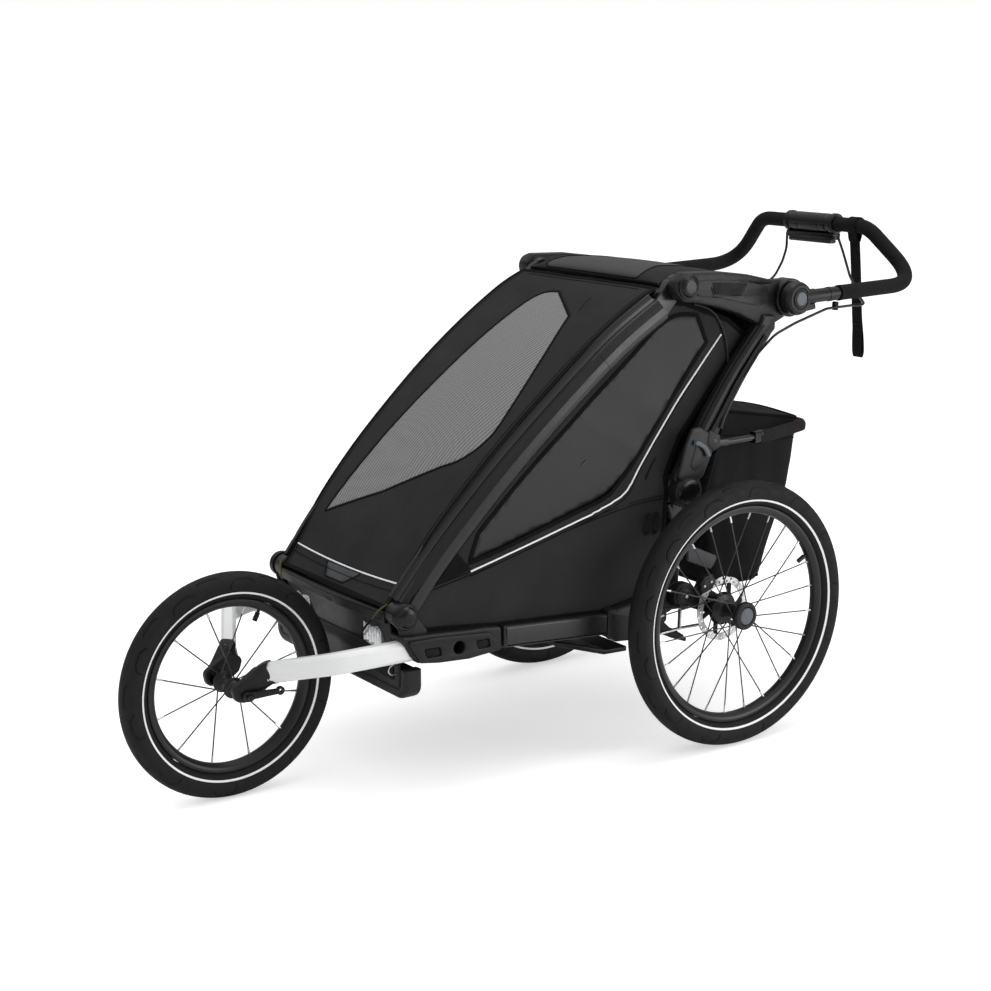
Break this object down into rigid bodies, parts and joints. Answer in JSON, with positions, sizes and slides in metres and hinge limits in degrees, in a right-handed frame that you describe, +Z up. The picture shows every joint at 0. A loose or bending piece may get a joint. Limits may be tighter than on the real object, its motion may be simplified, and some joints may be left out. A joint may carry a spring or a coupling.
{
  "type": "baby stroller",
  "caption": "Folding sport stroller with a fitted jogging fork, spoked air wheels, covered child cabin, sprung rear axle, tilting handlebar and open cargo bag.",
  "frame": {"origin": "on the ground, under the middle of the whole object's footprint", "axes": "+X the stroller's left side, +Y backwards (it drives towards -Y), +Z up"},
  "size_m": [0.654, 1.5594, 0.939],
  "materials": {
    "plastic": "satin moulded",
    "dark_tube": "satin black powder coat",
    "white_paint": "gloss white",
    "fabric": "matte woven",
    "foam": "matte foam",
    "tread": "matte",
    "rim": "satin black",
    "rotor_steel": "brushed",
    "button_grey": "satin"
  },
  "bodies": {
    "chassis": {"side_rail_left": "dark_tube", "side_rail_right": "dark_tube", "front_bracket_left": "plastic", "front_bracket_right": "plastic", "rear_bracket_left": "plastic", "rear_bracket_right": "plastic", "front_beam": "plastic", "rear_cross_tube": "dark_tube", "footwell_pan": "fabric", "skid_plate": "plastic", "bumper_bar": "plastic", "seat_base": "fabric", "side_panel_left": "fabric", "side_panel_right": "fabric", "jog_arm_left": "white_paint", "jog_arm_right": "white_paint", "fork_end_left": "plastic", "fork_end_right": "plastic"},
    "front_frame": {"front_upright_left": "dark_tube", "front_upright_right": "dark_tube", "front_cover": "fabric"},
    "top_frame": {"upper_frame_left": "plastic", "upper_frame_right": "plastic", "upper_cross_tube": "dark_tube", "roof": "fabric", "rear_panel": "fabric", "cargo_bag": "fabric", "bag_frame": "dark_tube", "seat_back": "fabric", "brake_cable_left": "plastic", "brake_cable_right": "plastic"},
    "struts": {"strut_left": "dark_tube", "strut_right": "dark_tube"},
    "latch_left": {"fold_latch_left": "button_grey"},
    "latch_right": {"fold_latch_right": "button_grey"},
    "handlebar": {"handlebar_tube": "dark_tube", "handlebar_grip": "foam", "brake_housing": "plastic", "wrist_strap": "fabric", "handle_hub_left": "plastic", "handle_hub_right": "plastic"},
    "tilt_button_left": {"handle_button_left": "button_grey"},
    "tilt_button_right": {"handle_button_right": "button_grey"},
    "brake_grip_lever": {"brake_lever": "plastic"},
    "parking_pedal": {"brake_pedal": "button_grey"},
    "suspension_left": {"suspension_arm_left": "plastic"},
    "suspension_right": {"suspension_arm_right": "plastic"},
    "wheel_left": {"rear_tyre_left": "tread", "rear_wheel_left": "rim", "brake_rotor_left": "rotor_steel", "hub_cap_left": "plastic"},
    "wheel_right": {"rear_tyre_right": "tread", "rear_wheel_right": "rim", "brake_rotor_right": "rotor_steel", "hub_cap_right": "plastic"},
    "release_left": {"wheel_release_button_left": "button_grey"},
    "release_right": {"wheel_release_button_right": "button_grey"},
    "wheel_front": {"front_tyre": "tread", "front_wheel": "rim"},
    "front_release": {"quick_release_lever": "plastic"}
  },
  "joints": [
    {"name": "fold", "type": "hinge", "parent": "chassis", "child": "front_frame", "pos_m": [0, -0.36123, 0.331], "axis": [1, 0, 0], "range_deg": [-17.67, 0], "deforming": ["side_panel_left", "side_panel_right"]},
    {"name": "top_fold", "type": "hinge", "parent": "front_frame", "child": "top_frame", "pos_m": [0, 0.21577, 0.842], "axis": [1, 0, 0], "range_deg": [0, 26.82]},
    {"name": "strut_fold", "type": "hinge", "parent": "chassis", "child": "struts", "pos_m": [0, 0.21877, 0.28], "axis": [1, 0, 0], "range_deg": [-88.02, 0]},
    {"name": "latch_left_slide", "type": "slide", "parent": "top_frame", "child": "latch_left", "axis": [0, 0.451, 0.8925], "range_m": [0, 0.012], "stiffness_N_per_m": 400},
    {"name": "latch_right_slide", "type": "slide", "parent": "top_frame", "child": "latch_right", "axis": [0, 0.451, 0.8925], "range_m": [0, 0.012], "stiffness_N_per_m": 400},
    {"name": "handlebar_tilt", "type": "hinge", "parent": "top_frame", "child": "handlebar", "pos_m": [0, 0.46277, 0.807], "axis": [1, 0, 0], "range_deg": [-40, 50], "deforming": ["brake_cable_left", "brake_cable_right"]},
    {"name": "tilt_button_left_press", "type": "slide", "parent": "handlebar", "child": "tilt_button_left", "axis": [-1, 0, 0], "range_m": [0, 0.003], "stiffness_N_per_m": 400},
    {"name": "tilt_button_right_press", "type": "slide", "parent": "handlebar", "child": "tilt_button_right", "axis": [1, 0, 0], "range_m": [0, 0.003], "stiffness_N_per_m": 400},
    {"name": "brake_lever_squeeze", "type": "hinge", "parent": "handlebar", "child": "brake_grip_lever", "pos_m": [-0.058, 0.74777, 0.883], "axis": [0, 1, 0], "range_deg": [-3.5, 0], "stiffness_Nm_per_rad": 2},
    {"name": "parking_brake", "type": "hinge", "parent": "chassis", "child": "parking_pedal", "pos_m": [0.18, 0.14877, 0.256], "axis": [1, 0, 0], "range_deg": [-15, 0], "stiffness_Nm_per_rad": 3},
    {"name": "suspension_left_swing", "type": "hinge", "parent": "chassis", "child": "suspension_left", "pos_m": [0.235, 0.21877, 0.28], "axis": [1, 0, 0], "range_deg": [0, 6], "stiffness_Nm_per_rad": 600},
    {"name": "suspension_right_swing", "type": "hinge", "parent": "chassis", "child": "suspension_right", "pos_m": [-0.235, 0.21877, 0.28], "axis": [1, 0, 0], "range_deg": [0, 6], "stiffness_Nm_per_rad": 600},
    {"name": "wheel_left_spin", "type": "hinge", "parent": "suspension_left", "child": "wheel_left", "pos_m": [0.2984, 0.29877, 0.247], "axis": [1, 0, 0], "continuous": true},
    {"name": "wheel_right_spin", "type": "hinge", "parent": "suspension_right", "child": "wheel_right", "pos_m": [-0.2984, 0.29877, 0.247], "axis": [1, 0, 0], "continuous": true},
    {"name": "wheel_front_spin", "type": "hinge", "parent": "chassis", "child": "wheel_front", "pos_m": [0, -0.58273, 0.197], "axis": [1, 0, 0], "continuous": true},
    {"name": "release_left_press", "type": "slide", "parent": "wheel_left", "child": "release_left", "axis": [-1, 0, 0], "range_m": [0, 0.003], "stiffness_N_per_m": 400},
    {"name": "release_right_press", "type": "slide", "parent": "wheel_right", "child": "release_right", "axis": [1, 0, 0], "range_m": [0, 0.003], "stiffness_N_per_m": 400},
    {"name": "front_release_open", "type": "hinge", "parent": "chassis", "child": "front_release", "pos_m": [0.07, -0.58273, 0.197], "axis": [0, 0, 1], "range_deg": [-150, 0]}
  ],
  "couplings": [
    {"joint": "top_fold", "follows": "fold", "ratio": -1.515},
    {"joint": "strut_fold", "follows": "fold", "ratio": 4.9757}
  ]
}
